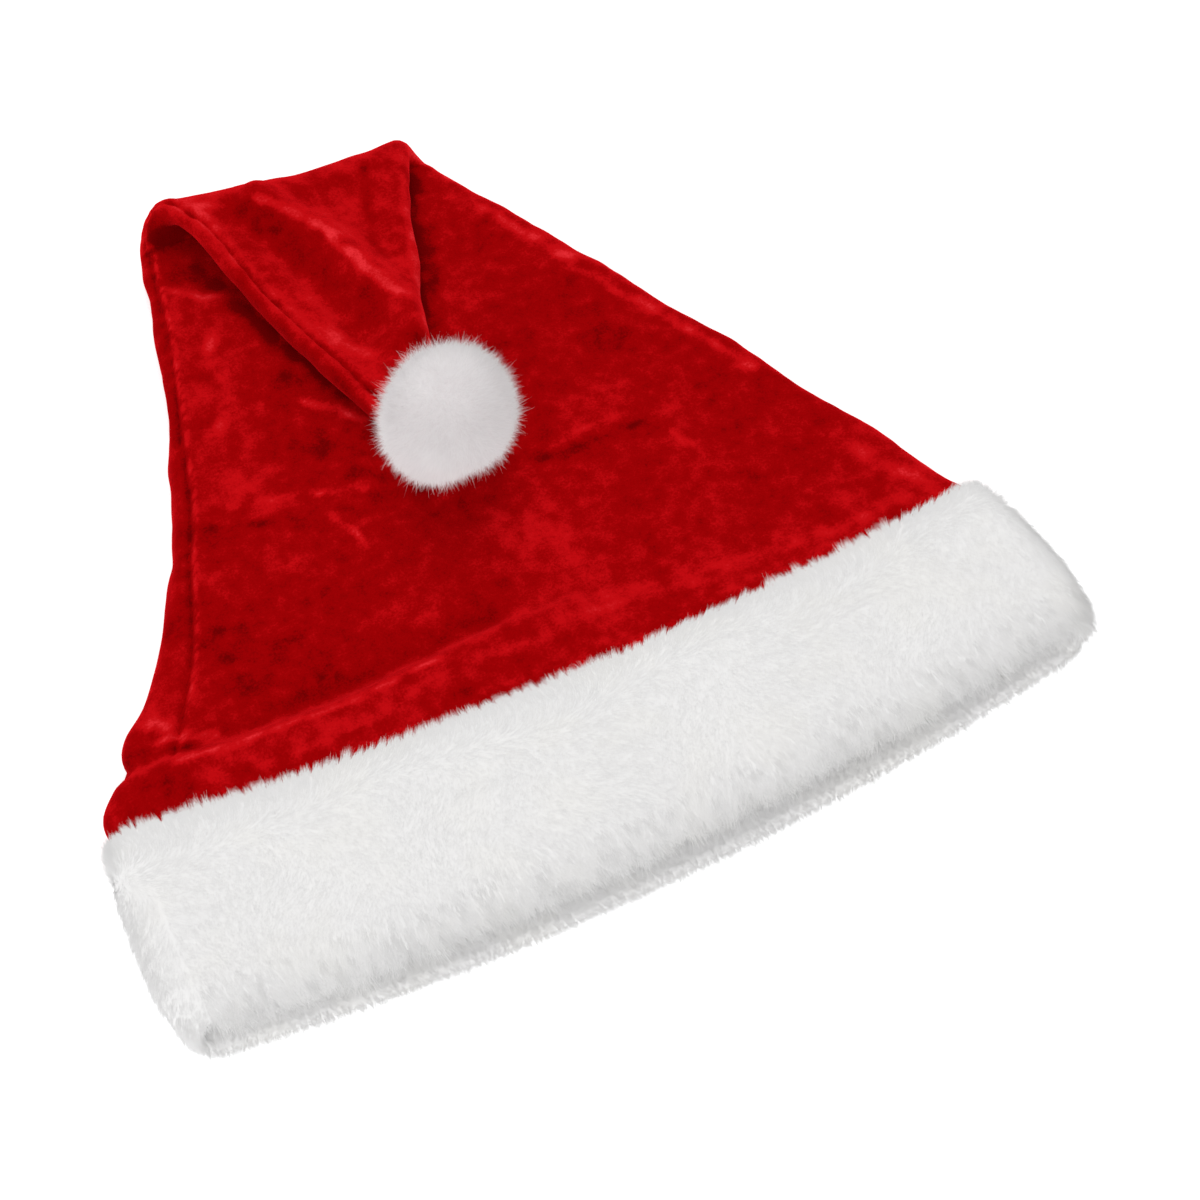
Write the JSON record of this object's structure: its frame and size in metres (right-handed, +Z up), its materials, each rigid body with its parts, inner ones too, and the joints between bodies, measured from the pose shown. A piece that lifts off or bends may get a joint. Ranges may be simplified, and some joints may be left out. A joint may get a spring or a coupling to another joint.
{
  "type": "santa hat",
  "caption": "Soft red velvet santa hat lying flat, with a thick white plush brim and its tip folded over onto the front, ending in a white pompom.",
  "frame": {"origin": "middle of the hat's box, on the surface that the hat lies on", "axes": "+X along the brim, +Y from the brim towards the fold, +Z up out of the hat's front"},
  "size_m": [0.2936, 0.286, 0.0576],
  "materials": {
    "velvet": "deep red crushed velvet, mottled, with a soft sheen",
    "plush": "white long-pile plush",
    "pompom_fur": "white combed fibre ball"
  },
  "bodies": {
    "root": {"crown": "velvet", "brim": "plush", "pompom": "pompom_fur"}
  },
  "joints": []
}
